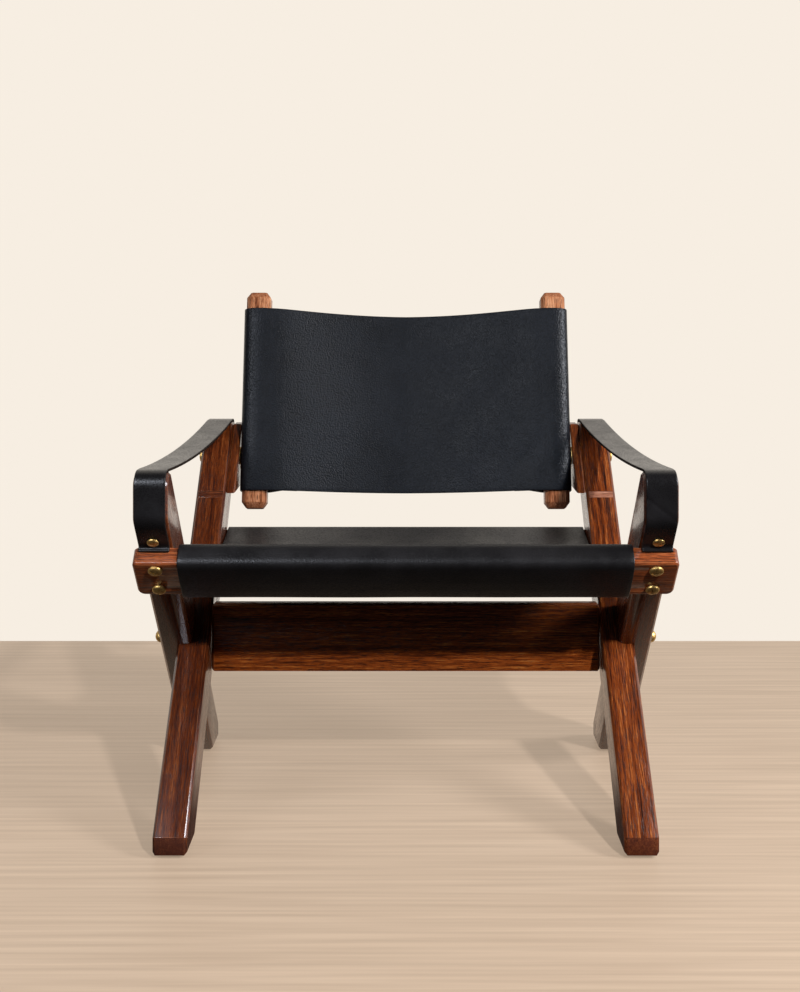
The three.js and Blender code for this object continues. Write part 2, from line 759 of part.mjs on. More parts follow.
function blockScrewPlaces() {
  const step = alongSlope(BLOCK_SCREW_SPREAD);
  const shift = FACE_RUN - PIVOT_INSET;
  return [
    new THREE.Vector2(PIVOT_Y + shift - step.x, PIVOT_HEIGHT - step.y),
    new THREE.Vector2(PIVOT_Y + shift + step.x, PIVOT_HEIGHT + step.y),
  ];
}

function pivotBlock() {
  const side = BLOCK_INSET / Math.sin(LEG_ANGLE);
  const top = UPRIGHT_TOP - BLOCK_INSET;
  const rearZ = UPRIGHT_BACK_Z;
  const outline = [
    new THREE.Vector2(uprightFront(BLOCK_FOOT) + side, BLOCK_FOOT),
    new THREE.Vector2(uprightRear(BLOCK_FOOT) - side, BLOCK_FOOT),
    new THREE.Vector2(UPRIGHT_BACK_Y - BLOCK_INSET, rearZ + side - BLOCK_INSET * SLOPE),
    new THREE.Vector2(UPRIGHT_BACK_Y - BLOCK_INSET, top),
    new THREE.Vector2(uprightFront(top) + side, top),
  ];
  const body = sideways(shapeFrom(outline), BLOCK_INNER, INNER_A - FIT_GAP, BLOCK_INSET);
  const bore = crossBore(
    BOLT_SHANK + 2 * BORE_PLAY,
    BLOCK_INNER - OVERRUN,
    INNER_A + OVERRUN,
    PIVOT_Y,
    PIVOT_HEIGHT,
  );
  const sinks = blockScrewPlaces().map((p) => aimed(
    countersunkScrew(BORE_PLAY),
    new THREE.Vector3(BLOCK_INNER, p.x, p.y),
    new THREE.Vector3(-1, 0, 0),
  ));
  return cut(body, [bore, ...sinks]);
}

function blockScrews() {
  const screw = countersunkScrew(0);
  return blockScrewPlaces().map((p) => aimed(
    screw,
    new THREE.Vector3(BLOCK_INNER, p.x, p.y),
    new THREE.Vector3(-1, 0, 0),
  ));
}

function washer(diameter, fromX, toX, y, z) {
  const disc = crossBore(diameter, fromX, toX, y, z, 24);
  const hole = crossBore(BOLT_SHANK + 2 * BORE_PLAY, fromX - OVERRUN, toX + OVERRUN, y, z);
  return cut(disc, [hole]);
}

// ---- Back ----

function backPost() {
  const half = POST_SIDE / 2;
  const flat = half - POST_CHAMFER;
  const outline = [
    [flat, -half], [half, -flat], [half, flat], [flat, half],
    [-flat, half], [-half, flat], [-half, -flat], [-flat, -half],
  ].map(([x, y]) => new THREE.Vector2(x, y));
  const body = new THREE.ExtrudeGeometry(shapeFrom(outline), {
    depth: POST_BELOW + POST_ABOVE - 2 * POST_TIP,
    bevelEnabled: true,
    bevelThickness: POST_TIP,
    bevelSize: POST_CHAMFER,
    bevelOffset: -POST_CHAMFER,
    bevelSegments: 1,
  });
  body.translate(POST_X, 0, -POST_BELOW + POST_TIP);
  const bore = crossBore(
    BOLT_SHANK + 2 * BORE_PLAY,
    SLEEVE_HALF - PIVOT_REACH - SLING_THICK - FIT_GAP,
    SLEEVE_HALF + OVERRUN,
    0,
    0,
  );
  return cut(body, [bore]);
}

// The back leather from above: a pocket round each post and the panel between them
function backLeather() {
  const half = POST_SIDE / 2;
  const inner = POST_X - half;
  const outer = POST_X + half;
  const step = SLING_THICK / 2 + FIT_GAP;
  const panelY = (x) => -half - step + BACK_BOW * (1 - (x / inner) ** 2);
  const hemY = (x) => panelY(x) + SLING_THICK + FIT_GAP;
  const pocket = beside([
    new THREE.Vector2(-inner + HEM / 2, half / 2),
    new THREE.Vector2(-inner, half),
    new THREE.Vector2(-outer, half),
    new THREE.Vector2(-outer, -half),
    new THREE.Vector2(-inner, -half),
  ], -step).slice(1, 4);
  const hemStart = -inner + HEM * 2;
  const hemEnd = -inner + HEM;
  const left = [
    new THREE.Vector2(hemStart, hemY(hemStart)),
    new THREE.Vector2((hemStart + hemEnd) / 2, hemY((hemStart + hemEnd) / 2)),
    new THREE.Vector2(hemEnd, hemY(hemEnd)),
    ...pocket,
  ];
  const bend = POST_CHAMFER * 1.6;
  const leftCuts = [0, 0, SLING_THICK, POST_CHAMFER, bend, bend];
  const panel = [];
  const steps = 16;
  for (let i = 0; i <= steps; i += 1) {
    const x = -inner + (2 * inner * i) / steps;
    panel.push(new THREE.Vector2(x, panelY(x)));
  }
  const right = left.map((p) => new THREE.Vector2(-p.x, p.y)).reverse();
  const points = [...left, ...panel, ...right];
  const cuts = [...leftCuts, ...panel.map(() => 0), ...leftCuts.slice().reverse()];
  const sheet = sheetShape(rounded(points, cuts, 4), SLING_THICK);
  const body = new THREE.ExtrudeGeometry(sheet, { depth: SLEEVE_LENGTH, bevelEnabled: false });
  body.translate(0, 0, -SLEEVE_BELOW);
  const bores = [-1, 1].map((side) => {
    const from = side > 0 ? POST_X : -SLEEVE_HALF - OVERRUN;
    const to = side > 0 ? SLEEVE_HALF + OVERRUN : -POST_X;
    return crossBore(BOLT_SHANK + 2 * BORE_PLAY, from, to, 0, 0);
  });
  return cut(body, bores);
}

// ---- Materials ----

const wood = new THREE.MeshStandardMaterial({ color: 0x7a4220, roughness: 0.45, metalness: 0 });
const darkWood = new THREE.MeshStandardMaterial({ color: 0x5e3219, roughness: 0.5, metalness: 0 });
const leather = new THREE.MeshStandardMaterial({ color: 0x26272b, roughness: 0.55, metalness: 0 });
const brass = new THREE.MeshStandardMaterial({ color: 0xb08d57, roughness: 0.3, metalness: 1 });
const steel = new THREE.MeshStandardMaterial({ color: 0x9a9a98, roughness: 0.35, metalness: 1 });
const plastic = new THREE.MeshStandardMaterial({ color: 0x1a1a1a, roughness: 0.6, metalness: 0 });

// ---- Assembly ----

const chair = new THREE.Group();
const frame = new THREE.Group();
frame.position.set(0, -FRONT_SHIFT, GLIDE_HEIGHT);
chair.add(frame);

function add(parent, name, geometry, material) {
  const mesh = new THREE.Mesh(geometry, material.clone());
  mesh.name = name;
  parent.add(mesh);
  return mesh;
}

function addPair(parent, name, geometry, material) {
  add(parent, `${name}_right`, geometry, material);
  add(parent, `${name}_left`, mirrored(geometry), material);
}

function addPairs(parent, names, geometries, material) {
  geometries.forEach((geometry, i) => addPair(parent, names[i], geometry, material));
}

addPair(frame, 'upright_leg', uprightLeg(), wood);
addPair(frame, 'arm_leg', armLeg(), wood);
addPair(frame, 'upright_band', bandBar(0), darkWood);
add(frame, 'cross_stretcher', stretcher(), wood);
addPair(frame, 'barrel_nut', barrelNut(), steel);

// Glides under the middle of each foot
const footPlaces = {
  glide_front: [MID_A, (TOE_Y + uprightRear(0)) / 2],
  glide_rear: [MID_B, (armFront(0) + HEEL_Y) / 2],
};
for (const [name, [x, y]] of Object.entries(footPlaces)) {
  for (const side of [1, -1]) {
    const disc = new THREE.CylinderGeometry(
      GLIDE_DIAMETER / 2,
      GLIDE_DIAMETER / 2,
      GLIDE_HEIGHT - FIT_GAP,
      24,
    );
    disc.rotateX(Math.PI / 2);
    const glide = add(frame, `${name}_${side > 0 ? 'right' : 'left'}`, stripped(disc), plastic);
    glide.position.set(side * x, y, -(GLIDE_HEIGHT + FIT_GAP) / 2);
  }
}

// Bolts through the crossings into the stretcher
const washerOuter = OUTER_B + FIT_GAP + WASHER_THICK;
const boltSeat = washerOuter + FIT_GAP;
const crossingBolt = aimed(
  domedScrew({
    head: BOLT_HEAD,
    headHeight: BOLT_HEAD_HEIGHT,
    shank: BOLT_SHANK,
    length: boltSeat - INNER_A + FIT_GAP + BOLT_REACH,
    slotted: false,
  }),
  new THREE.Vector3(boltSeat, 0, CROSS_HEIGHT),
  new THREE.Vector3(1, 0, 0),
);
addPair(frame, 'crossing_bolt', crossingBolt, brass);
addPair(
  frame,
  'crossing_washer',
  washer(WASHER_DIAMETER, OUTER_B + FIT_GAP, washerOuter, 0, CROSS_HEIGHT),
  brass,
);

// Rails and their screws, each in the frame of the leg face that carries it
const frontRailGroup = new THREE.Group();
frontRailGroup.applyMatrix4(FRONT_RAIL_FRAME);
frame.add(frontRailGroup);
add(frontRailGroup, 'front_rail', railBoard(FRONT_RAIL_HALF, frontScrewPlaces(), FIT_GAP), wood);
addPairs(
  frontRailGroup,
  ['front_rail_screw_upper', 'front_rail_screw_lower'],
  railScrews(frontScrewPlaces(), 1),
  brass,
);

const rearRailGroup = new THREE.Group();
rearRailGroup.applyMatrix4(REAR_RAIL_FRAME);
frame.add(rearRailGroup);
add(rearRailGroup, 'rear_rail', railBoard(REAR_RAIL_HALF, rearScrewPlaces(), -FIT_GAP - RAIL_THICK), wood);
addPairs(
  rearRailGroup,
  ['rear_rail_screw_upper', 'rear_rail_screw_lower'],
  railScrews(rearScrewPlaces(), -1),
  brass,
);

add(frame, 'seat_leather', seatLeather(), leather);
addPair(frame, 'arm_strap', armStrap(), leather);
addPairs(frame, ['strap_screw_front', 'strap_screw_rear'], strapScrews(), brass);

// Pivot blocks, bolts and washers, fixed to the uprights
addPair(frame, 'pivot_block', pivotBlock(), wood);
addPairs(frame, ['block_screw_lower', 'block_screw_upper'], blockScrews(), brass);
const pivotSeat = OUTER_A + FIT_GAP + WASHER_THICK + FIT_GAP;
const pivotBolt = aimed(
  domedScrew({
    head: BOLT_HEAD,
    headHeight: PIVOT_HEAD_HEIGHT,
    shank: BOLT_SHANK,
    length: pivotSeat - SLEEVE_HALF + SLING_THICK + PIVOT_REACH,
    slotted: false,
  }),
  new THREE.Vector3(pivotSeat, PIVOT_Y, PIVOT_HEIGHT),
  new THREE.Vector3(1, 0, 0),
);
addPair(frame, 'pivot_bolt', pivotBolt, brass);
addPair(
  frame,
  'pivot_washer',
  washer(WASHER_DIAMETER, OUTER_A + FIT_GAP, OUTER_A + FIT_GAP + WASHER_THICK, PIVOT_Y, PIVOT_HEIGHT),
  brass,
);
addPair(
  frame,
  'spacer_washer',
  washer(
    INNER_WASHER_DIAMETER,
    BLOCK_INNER - FIT_GAP - INNER_WASHER_THICK,
    BLOCK_INNER - FIT_GAP,
    PIVOT_Y,
    PIVOT_HEIGHT,
  ),
  brass,
);

// The back, hung on the pivot bolts
const back = new THREE.Group();
back.position.set(0, PIVOT_Y, PIVOT_HEIGHT);
back.rotation.x = -BACK_LEAN;
frame.add(back);
addPair(back, 'back_post', backPost(), wood);
add(back, 'back_leather', backLeather(), leather);

chair.updateMatrixWorld(true);

export default chair;
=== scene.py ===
import math

import bpy
from mathutils import Euler, Matrix, Vector, noise


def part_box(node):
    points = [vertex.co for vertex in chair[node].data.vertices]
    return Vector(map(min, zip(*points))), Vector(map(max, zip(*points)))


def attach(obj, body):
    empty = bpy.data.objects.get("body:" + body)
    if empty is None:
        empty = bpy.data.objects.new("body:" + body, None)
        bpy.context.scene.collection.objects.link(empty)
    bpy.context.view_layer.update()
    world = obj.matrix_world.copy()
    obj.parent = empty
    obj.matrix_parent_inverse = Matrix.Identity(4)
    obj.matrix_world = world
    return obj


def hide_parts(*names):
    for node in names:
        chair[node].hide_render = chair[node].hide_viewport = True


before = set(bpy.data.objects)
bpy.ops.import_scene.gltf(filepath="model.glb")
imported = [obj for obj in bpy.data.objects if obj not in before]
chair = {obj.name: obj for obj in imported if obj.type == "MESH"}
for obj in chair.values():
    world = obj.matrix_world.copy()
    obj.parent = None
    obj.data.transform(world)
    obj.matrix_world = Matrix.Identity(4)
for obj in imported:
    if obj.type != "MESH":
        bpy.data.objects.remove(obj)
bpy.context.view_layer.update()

# ---- Camera ----
# Level, in front of the chair and just above its back posts. The picture is shifted down
# to the chair.
EYE = (0, -2.075, 0.7264)
bpy.ops.object.camera_add(location=EYE, rotation=(math.pi / 2, 0, 0))
camera = bpy.context.object
camera.data.lens = 51.35
camera.data.shift_x = -0.00585
camera.data.shift_y = -0.2077
bpy.context.scene.camera = camera
bpy.context.scene.view_settings.view_transform = "Standard"


# ---- Studio ----
# A pale floor that ends where the wall would stand, a plain wall colour beyond it, and five
# soft lamps. Bounced light and reflections find the floor in front and the near room dark.
def paint(red, green, blue):
    """A colour picked as 0 to 255 values, as a shader wants it."""
    return tuple(
        c / 12.92 if c <= 0.04045 else ((c + 0.055) / 1.055) ** 2.4
        for c in (red / 255, green / 255, blue / 255)
    ) + (1.0,)


def add_node(tree, kind, inputs=None, **settings):
    """A new node with its settings, each input linked to a socket or set to a value."""
    made = tree.nodes.new(kind)
    for name, value in settings.items():
        setattr(made, name, value)
    for name, value in (inputs or {}).items():
        if isinstance(value, bpy.types.NodeSocket):
            tree.links.new(value, made.inputs[name])
        else:
            made.inputs[name].default_value = value
    return made


def new_finish(name):
    """A new material with its node tree and its shader."""
    finish = bpy.data.materials.new(name)
    finish.use_nodes = True
    return finish, finish.node_tree, finish.node_tree.nodes["Principled BSDF"]


def object_place(tree):
    return add_node(tree, "ShaderNodeTexCoord").outputs["Object"]


def calc(tree, operation, a, b=0.0):
    return add_node(tree, "ShaderNodeMath", {0: a, 1: b}, operation=operation).outputs[0]


def times(tree, a, b):
    return calc(tree, "MULTIPLY", a, b)


def span(tree, value, low, high, to_low, to_high, **settings):
    """The value, carried from one range to another."""
    return add_node(
        tree, "ShaderNodeMapRange",
        {"Value": value, "From Min": low, "From Max": high, "To Min": to_low, "To Max": to_high},
        **settings,
    ).outputs[0]


def cloudy(tree, place, scale, detail, rough=0.5, wander=0.0):
    """Noise from 0 to 1 over the place, with that many clouds to the metre."""
    return add_node(
        tree, "ShaderNodeTexNoise",
        {"Vector": place, "Scale": scale, "Detail": detail, "Roughness": rough,
         "Distortion": wander},
    ).outputs["Fac"]


def two_tones(tree, value, low, dark, high, light):
    """The first colour up to the low value, the second from the high one, blended between."""
    ramp = add_node(tree, "ShaderNodeValToRGB", {"Fac": value})
    for stop, position, colour in zip(ramp.color_ramp.elements, (low, high), (dark, light)):
        stop.position = position
        stop.color = paint(*colour)
    return ramp.outputs["Color"]


def mixed(tree, share, first, second):
    return add_node(
        tree, "ShaderNodeMix", {"Factor": share, 6: first, 7: second}, data_type="RGBA",
    ).outputs[2]


FLOOR_WIDTH, FLOOR_LENGTH, FLOOR_REAR = 12, 5.853, 0.853
WALL = paint(247, 238, 226)

bpy.ops.object.select_all(action="DESELECT")
bpy.ops.mesh.primitive_plane_add(size=1)
floor = bpy.context.object
floor.name = "floor"
bpy.ops.object.mode_set(mode="EDIT")
bpy.ops.transform.resize(value=(FLOOR_WIDTH, FLOOR_LENGTH, 1))
bpy.ops.transform.translate(value=(0, FLOOR_REAR - FLOOR_LENGTH / 2, 0))
bpy.ops.object.mode_set(mode="OBJECT")
boards, tree, shader = new_finish("pale_floor")
place = object_place(tree)
along = add_node(tree, "ShaderNodeMapping", {"Vector": place, "Scale": (2.5, 90, 1)}).outputs[0]
tint = two_tones(tree, cloudy(tree, along, 1.0, 4.0), 0.3, (140, 125, 112), 0.7, (170, 155, 141))
ray = add_node(tree, "ShaderNodeLightPath")
depth = add_node(tree, "ShaderNodeSeparateXYZ", {"Vector": place}).outputs["Y"]
before_chair = span(tree, depth, 0.1, -0.12, 0.0, 1.0)
mirrored = times(tree, ray.outputs["Is Glossy Ray"], before_chair)
unlit = calc(tree, "MAXIMUM", ray.outputs["Is Diffuse Ray"], mirrored)
tree.links.new(mixed(tree, unlit, tint, paint(46, 42, 37)), shader.inputs["Base Color"])
tree.links.new(span(tree, unlit, 0.0, 1.0, 0.48, 0.0), shader.inputs["Emission Strength"])
shader.inputs["Emission Color"].default_value = paint(213, 188, 162)
shader.inputs["Roughness"].default_value = 0.5
shader.inputs["Specular IOR Level"].default_value = 0.15
floor.data.materials.append(boards)

world = bpy.data.worlds.new("studio")
bpy.context.scene.world = world
world.use_nodes = True
tree = world.node_tree
tree.nodes.clear()


def glow(colour, strength):
    return add_node(
        tree, "ShaderNodeBackground", {"Color": colour, "Strength": strength},
    ).outputs[0]


def either(share, first, second):
    return add_node(tree, "ShaderNodeMixShader", {0: share, 1: first, 2: second}).outputs[0]


ray = add_node(tree, "ShaderNodeLightPath")
toward = add_node(tree, "ShaderNodeTexCoord").outputs["Generated"]
depth = add_node(tree, "ShaderNodeSeparateXYZ", {"Vector": toward}).outputs["Y"]
mirror_ray = calc(
    tree, "MAXIMUM", ray.outputs["Is Glossy Ray"], ray.outputs["Is Transmission Ray"],
)
wall_side = span(tree, depth, 0.1, 0.55, 0.04, 1.0, interpolation_type="SMOOTHSTEP")
spill = span(tree, depth, 0.0, 0.7, 0.02, 0.45)
lit = either(mirror_ray, glow(paint(250, 246, 242), spill), glow(WALL, wall_side))
both = either(ray.outputs["Is Camera Ray"], lit, glow(WALL, 1.0))
add_node(tree, "ShaderNodeOutputWorld", {"Surface": both})


def soft_lamp(name, place, aim, size, watts, colour):
    place, aim = Vector(place), Vector(aim)
    bpy.ops.object.light_add(type="AREA", location=place)
    lamp = bpy.context.object
    lamp.name = name
    lamp.rotation_euler = (aim - place).to_track_quat("-Z", "Y").to_euler()
    lamp.data.shape = "DISK"
    lamp.data.size = size
    lamp.data.energy = watts
    lamp.data.color = paint(*colour)[:3]
    return lamp


front_lamp = soft_lamp(
    "front_lamp", (1.20, -2.75, 2.10), (0, 0, 0.3), 0.18, 84, (255, 246, 236),
)
front_lamp.visible_glossy = False
soft_lamp("window_lamp", (2.76, -1.23, 2.26), (0, 0, 0.3), 0.9, 66, (255, 248, 240))
soft_lamp("fill_lamp", (-2.3, -1.9, 1.9), (0, 0, 0.4), 1.6, 22, (240, 238, 236))

# The last two show only as a sheen, and not on the floor or the back posts.
sheen_lamps = (
    soft_lamp("sheen_lamp", (-1.5, -2.6, 1.9), (0, 0, 0.5), 1.2, 105, (232, 238, 250)),
    soft_lamp("edge_lamp", (2.9, -0.8, 1.55), (0.26, 0.16, 0.6), 1.3, 170, (240, 244, 252)),
)
shone_on = bpy.data.collections.new("shone_on")
for lamp in sheen_lamps:
    lamp.visible_diffuse = False
    lamp.light_linking.receiver_collection = shone_on


def out_of_shine(dull):
    """Keeps the sheen lamp and the edge lamp off it."""
    shone_on.objects.link(dull)
    shone_on.collection_objects[-1].light_linking.link_state = "EXCLUDE"


out_of_shine(floor)


# ---- Upright legs ----
# Solid brown hardwood, 64 x 44.5 mm, sloping up to the rear; each is halved into the arm leg
# where they cross. The edges are planed to a chamfer, sanded and lacquered satin.
BROWN = ((46, 18, 9), (75, 32, 14), (92, 43, 19), (108, 53, 24), (144, 84, 45))
# The red-brown is lighter than the brown; it paints the right upright as lit from the right.
LIT_RED_BROWN = ((40, 15, 7), (86, 37, 14), (118, 56, 24), (141, 71, 31), (190, 122, 68))
# The pale brown on sanded edges is partly wear and partly a painted highlight.
PORE_BROWN, WORN_HIGHLIT_BROWN = (30, 12, 7), (172, 108, 68)
LEG_SLOPE = math.pi / 4
LEG_ROUND = 0.0008
FLAT, SHARP = math.radians(1), math.radians(25)


def plus(tree, a, b):
    return calc(tree, "ADD", a, b)


def raised(tree, shader, height, strength, distance):
    """Gives the shader a relief."""
    bump = add_node(
        tree, "ShaderNodeBump", {"Height": height, "Strength": strength, "Distance": distance},
    )
    tree.links.new(bump.outputs["Normal"], shader.inputs["Normal"])


def stained_wood(name, turn, shift, tones=BROWN, lacquer=0.6):
    """Wood in five tones, its grain along Y before the turn; the shift picks its place in a board.

    The ends of the grain are darker and duller; sanded edges are paler: wear and painted highlight.
    """
    finish, tree, shader = new_finish(name)
    grain = Euler(turn).to_matrix() @ Vector((0, 1, 0))
    board = add_node(
        tree, "ShaderNodeMapping",
        {"Vector": object_place(tree), "Rotation": turn, "Location": shift}, vector_type="TEXTURE",
    ).outputs[0]

    def figure(across, lengthwise, detail, wander, rough=0.55):
        """Marks by the metre, across the grain and along it."""
        stretched = add_node(
            tree, "ShaderNodeMapping", {"Vector": board, "Scale": (across, lengthwise, across)},
        )
        return cloudy(tree, stretched.outputs[0], 1.0, detail, rough, wander)

    bands = figure(120, 2.2, 2, 0.6)
    streaks = figure(360, 12, 4, 0.3, 0.7)
    fibres = figure(900, 36, 3, 0.0, 0.75)
    pores = figure(1000, 85, 1, 0.0, 0.4)
    blend = plus(tree, times(tree, bands, 0.25), times(tree, streaks, 0.35))
    blend = plus(tree, blend, times(tree, fibres, 0.40))
    colour = two_tones(tree, blend, 0.41, tones[0], 0.61, tones[4])
    for position, tone in zip((0.46, 0.505, 0.55), tones[1:4]):
        colour.node.color_ramp.elements.new(position).color = paint(*tone)
    pit = span(tree, pores, 0.56, 0.66, 0.0, 1.0)
    colour = mixed(tree, times(tree, pit, 0.65), colour, paint(*PORE_BROWN))
    facing = add_node(
        tree, "ShaderNodeVectorMath",
        {0: add_node(tree, "ShaderNodeTexCoord").outputs["Normal"], 1: grain},
        operation="DOT_PRODUCT",
    ).outputs["Value"]
    end_grain = span(tree, calc(tree, "ABSOLUTE", facing), 0.35, 0.75, 0.0, 0.7)
    colour = mixed(tree, end_grain, colour, paint(*tones[1]))
    # Sanded edges turn pale brown in patches: wear, and a painted highlight along the edges.
    worn_highlit_edge = add_node(tree, "ShaderNodeAttribute", attribute_name="worn_highlit_edge").outputs["Fac"]
    wear_and_highlight = times(tree, worn_highlit_edge, span(tree, figure(60, 25, 3, 0.0), 0.40, 0.62, 0.15, 0.7))
    colour = mixed(tree, wear_and_highlight, colour, paint(*WORN_HIGHLIT_BROWN))
    tree.links.new(colour, shader.inputs["Base Color"])
    polish = span(tree, streaks, 0.35, 0.65, 0.32, 0.22)
    dry = plus(tree, times(tree, pit, 0.2), times(tree, end_grain, 0.75))
    tree.links.new(plus(tree, polish, dry), shader.inputs["Roughness"])
    height = calc(tree, "SUBTRACT", times(tree, fibres, 0.5), pit)
    raised(tree, shader, height, 0.35, 0.00025)
    shader.inputs["Specular IOR Level"].default_value = 0.2
    shader.inputs["Coat Weight"].default_value = lacquer
    shader.inputs["Coat Roughness"].default_value = 0.17
    return finish


def alone(piece):
    """Deselects everything but the piece."""
    bpy.ops.object.select_all(action="DESELECT")
    piece.select_set(True)
    bpy.context.view_layer.objects.active = piece


def smoothed(piece, degrees):
    """Smooth shading over every edge but those sharper than that."""
    alone(piece)
    bpy.ops.object.shade_smooth_by_angle(angle=math.radians(degrees))


def copy_of(source, name):
    piece = bpy.data.objects.new(name, source.data.copy())
    bpy.context.scene.collection.objects.link(piece)
    return piece


def eased(name, round_off, finish, body="frame"):
    """The solid of that name with its sharp edges sanded round, standing in for it."""
    piece = copy_of(chair[name], name + "_sanded")
    piece.data.materials.clear()
    piece.data.materials.append(finish)
    piece.data.materials.append(finish)
    alone(piece)
    bpy.ops.object.mode_set(mode="EDIT")
    bpy.ops.mesh.select_mode(type="EDGE")
    bpy.ops.mesh.select_all(action="SELECT")
    bpy.ops.mesh.remove_doubles(threshold=1e-5)
    bpy.ops.mesh.dissolve_limited(angle_limit=FLAT)
    bpy.ops.mesh.select_all(action="DESELECT")
    bpy.ops.mesh.edges_select_sharp(sharpness=SHARP)
    bpy.ops.mesh.bevel(
        offset=round_off, segments=2, affect="EDGES", clamp_overlap=True, material=1,
    )
    bpy.ops.object.mode_set(mode="OBJECT")
    # The sanded faces came with material slot two, marking them for wear and painted highlight.
    worn_highlit_edge = piece.data.attributes.new("worn_highlit_edge", "FLOAT", "CORNER")
    for face in piece.data.polygons:
        for corner in face.loop_indices:
            worn_highlit_edge.data[corner].value = float(face.material_index)
        face.material_index = 0
    piece.data.materials.pop(index=1)
    smoothed(piece, 32)
    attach(piece, body)
    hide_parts(name)
    return piece


# The right upright's wood is painted lighter than the left's, for the light from the right.
painted_lit_right_wood = stained_wood("wood_of_right_upright_painted_lit", (LEG_SLOPE, 0, 0), (0.3, 0.0, 0.45), LIT_RED_BROWN)
left_wood = stained_wood("wood_of_left_upright", (LEG_SLOPE, 0, 0), (0.5, 0.1, 0.2))
eased("upright_leg_right", LEG_ROUND, painted_lit_right_wood)
eased("upright_leg_left", LEG_ROUND, left_wood)

# ---- Arm legs ----
# The same stock, sloping up to the front outside the uprights, with a plumb nose under the
# arm strap and a rounded front corner.
arm_wood = stained_wood("wood_of_arm_legs", (-LEG_SLOPE, 0, 0), (0.07, 0.31, 0.11))
for side in ("right", "left"):
    eased(f"arm_leg_{side}", LEG_ROUND, arm_wood)

# ---- Stretcher and rails ----
# Boards 27 mm thick across the chair: the stretcher stands on edge between the crossings,
# the front rail is screwed to the arm legs and the rear rail to the uprights.
ACROSS = (0, 0, math.pi / 2)
RAIL_ROUND = 0.0007
stretcher_wood = stained_wood(
    "wood_of_stretcher", ACROSS, (0.7, 0.5, 0.1),
    ((70, 30, 12), (114, 54, 21), (146, 72, 29), (170, 90, 38), (202, 132, 68)), lacquer=0.25,
)
rail_wood = stained_wood(
    "wood_of_rails", ACROSS, (0.4, 0.2, 0.6),
    ((92, 46, 26), (128, 66, 36), (152, 80, 45), (172, 95, 56), (200, 126, 82)),
)
eased("cross_stretcher", LEG_ROUND, stretcher_wood)
eased("front_rail", RAIL_ROUND, rail_wood)
eased("rear_rail", RAIL_ROUND, rail_wood)

# ---- Pivot blocks and back posts ----
# A block is screwed inside each upright, and the post turns on a bolt through both. Posts are
# 39 mm square with wide chamfers and blunt tips, oiled but not lacquered.
POST_ROUND = 0.0006
POST_LEAN = math.radians(76.5)
# Each block takes its upright's wood, so the right block is painted lighter as well.
eased("pivot_block_right", POST_ROUND, painted_lit_right_wood)
eased("pivot_block_left", POST_ROUND, left_wood)
post_wood = stained_wood(
    "wood_of_back_posts", (POST_LEAN, 0, 0), (0.2, 0.6, 0.3),
    ((86, 44, 28), (146, 90, 62), (186, 124, 90), (206, 146, 110), (232, 184, 150)), lacquer=0.0,
)
for side in ("right", "left"):
    out_of_shine(eased(f"back_post_{side}", POST_ROUND, post_wood, body="back"))

# ---- Bands ----
# A strip of wood let into the front of each upright, level with the arm: the right one painted
# pale as lit and the left one painted dark as shaded, for the light that falls from the right.
BAND_ROUND = 0.0004
painted_lit_strip = stained_wood(
    "wood_of_right_band_painted_lit", ACROSS, (0.9, 0.1, 0.2),
    ((92, 50, 36), (128, 78, 60), (152, 100, 80), (170, 118, 98), (196, 150, 130)),
)
painted_shaded_strip = stained_wood(
    "wood_of_left_band_painted_shade", ACROSS, (0.3, 0.1, 0.2),
    ((24, 9, 6), (50, 22, 13), (72, 34, 20), (92, 46, 27), (130, 76, 50)),
)
eased("upright_band_right", BAND_ROUND, painted_lit_strip)
eased("upright_band_left", BAND_ROUND, painted_shaded_strip)


